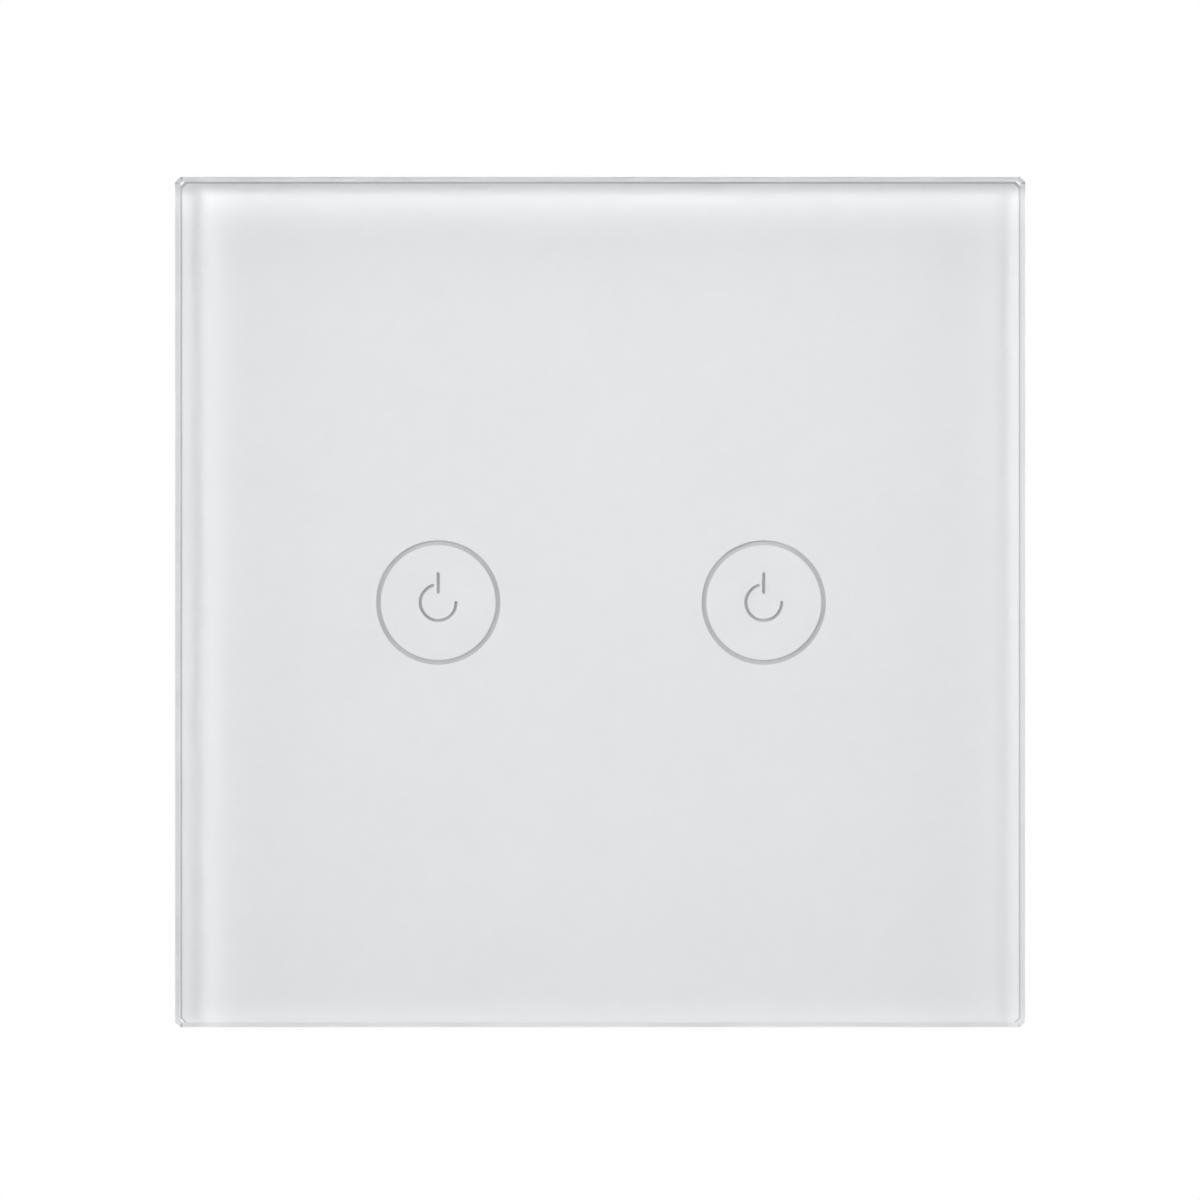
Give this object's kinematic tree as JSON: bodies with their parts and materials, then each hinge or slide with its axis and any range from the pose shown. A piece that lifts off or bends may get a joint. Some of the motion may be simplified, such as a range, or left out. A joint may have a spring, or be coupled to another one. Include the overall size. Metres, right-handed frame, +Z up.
{
  "type": "touch light switch",
  "caption": "Square wall switch with a thick clear glass panel, two touch zones marked by thin grey rings, and a rear housing with rising-clamp screw terminals.",
  "frame": {"origin": "midway between the two fixing slots, on the wall's surface, which is the rear face of the base", "axes": "+X right and +Z up as seen from the room, +Y into the wall; the glass faces -Y"},
  "size_m": [0.086, 0.035, 0.086],
  "materials": {
    "clear_glass": "polished toughened glass",
    "adhesive": "foam tape",
    "white_plastic": "fine spark-eroded texture",
    "diffuser": "opal",
    "charcoal_plastic": "fine spark-eroded texture",
    "plated_steel": "zinc plated",
    "white_board": "white solder mask",
    "green_board": "green solder mask",
    "spring_wire": "tinned spring wire",
    "lamp": "clear resin over phosphor",
    "chip_black": "moulded epoxy",
    "chip_ceramic": "sintered",
    "connector_plastic": "moulded",
    "relay_shell": "moulded",
    "ferrite": "sintered",
    "capacitor_sleeve": "shrunk sleeve",
    "film_box": "moulded",
    "varistor_coating": "dipped epoxy",
    "fuse_body": "moulded",
    "terminal_plastic": "moulded",
    "brass": "rolled strip"
  },
  "bodies": {
    "base": {"mounting_base": "white_plastic", "rear_housing": "charcoal_plastic", "housing_screws": "plated_steel", "touch_board": "white_board", "touch_spring_left": "spring_wire", "touch_spring_right": "spring_wire", "status_lamps": "lamp", "touch_chip": "chip_black", "chip_parts": "chip_ceramic", "board_socket": "connector_plastic", "board_header": "connector_plastic", "power_board": "green_board", "relay_left": "relay_shell", "relay_right": "relay_shell", "transformer": "ferrite", "smoothing_capacitor": "capacitor_sleeve", "suppression_capacitor": "film_box", "varistor": "varistor_coating", "fuse": "fuse_body", "rectifier": "chip_black", "terminal_block": "terminal_plastic", "contact_bars": "brass"},
    "panel": {"glass_panel": "clear_glass", "adhesive_sheet": "adhesive", "panel_frame": "white_plastic", "light_guide_left": "diffuser", "light_guide_right": "diffuser"},
    "screw_1": {"terminal_screw_1": "plated_steel"},
    "cage_1": {"terminal_cage_1": "plated_steel"},
    "screw_2": {"terminal_screw_2": "plated_steel"},
    "cage_2": {"terminal_cage_2": "plated_steel"},
    "screw_3": {"terminal_screw_3": "plated_steel"},
    "cage_3": {"terminal_cage_3": "plated_steel"},
    "screw_4": {"terminal_screw_4": "plated_steel"},
    "cage_4": {"terminal_cage_4": "plated_steel"}
  },
  "joints": [
    {"name": "panel_pull", "type": "slide", "parent": "base", "child": "panel", "axis": [0, -1, 0], "range_m": [0, 0.014]},
    {"name": "screw_1_turn", "type": "hinge", "parent": "base", "child": "screw_1", "pos_m": [-0.01125, 0.022, -0.0236], "axis": [0, -1, 0], "range_deg": [0, 1800]},
    {"name": "cage_1_rise", "type": "slide", "parent": "base", "child": "cage_1", "axis": [0, 1, 0], "range_m": [0, 0.0025]},
    {"name": "screw_2_turn", "type": "hinge", "parent": "base", "child": "screw_2", "pos_m": [-0.00375, 0.022, -0.0236], "axis": [0, -1, 0], "range_deg": [0, 1800]},
    {"name": "cage_2_rise", "type": "slide", "parent": "base", "child": "cage_2", "axis": [0, 1, 0], "range_m": [0, 0.0025]},
    {"name": "screw_3_turn", "type": "hinge", "parent": "base", "child": "screw_3", "pos_m": [0.00375, 0.022, -0.0236], "axis": [0, -1, 0], "range_deg": [0, 1800]},
    {"name": "cage_3_rise", "type": "slide", "parent": "base", "child": "cage_3", "axis": [0, 1, 0], "range_m": [0, 0.0025]},
    {"name": "screw_4_turn", "type": "hinge", "parent": "base", "child": "screw_4", "pos_m": [0.01125, 0.022, -0.0236], "axis": [0, -1, 0], "range_deg": [0, 1800]},
    {"name": "cage_4_rise", "type": "slide", "parent": "base", "child": "cage_4", "axis": [0, 1, 0], "range_m": [0, 0.0025]}
  ],
  "couplings": [
    {"joint": "screw_1_turn", "follows": "cage_1_rise", "rad_per_m": 12566},
    {"joint": "screw_2_turn", "follows": "cage_2_rise", "rad_per_m": 12566},
    {"joint": "screw_3_turn", "follows": "cage_3_rise", "rad_per_m": 12566},
    {"joint": "screw_4_turn", "follows": "cage_4_rise", "rad_per_m": 12566}
  ]
}
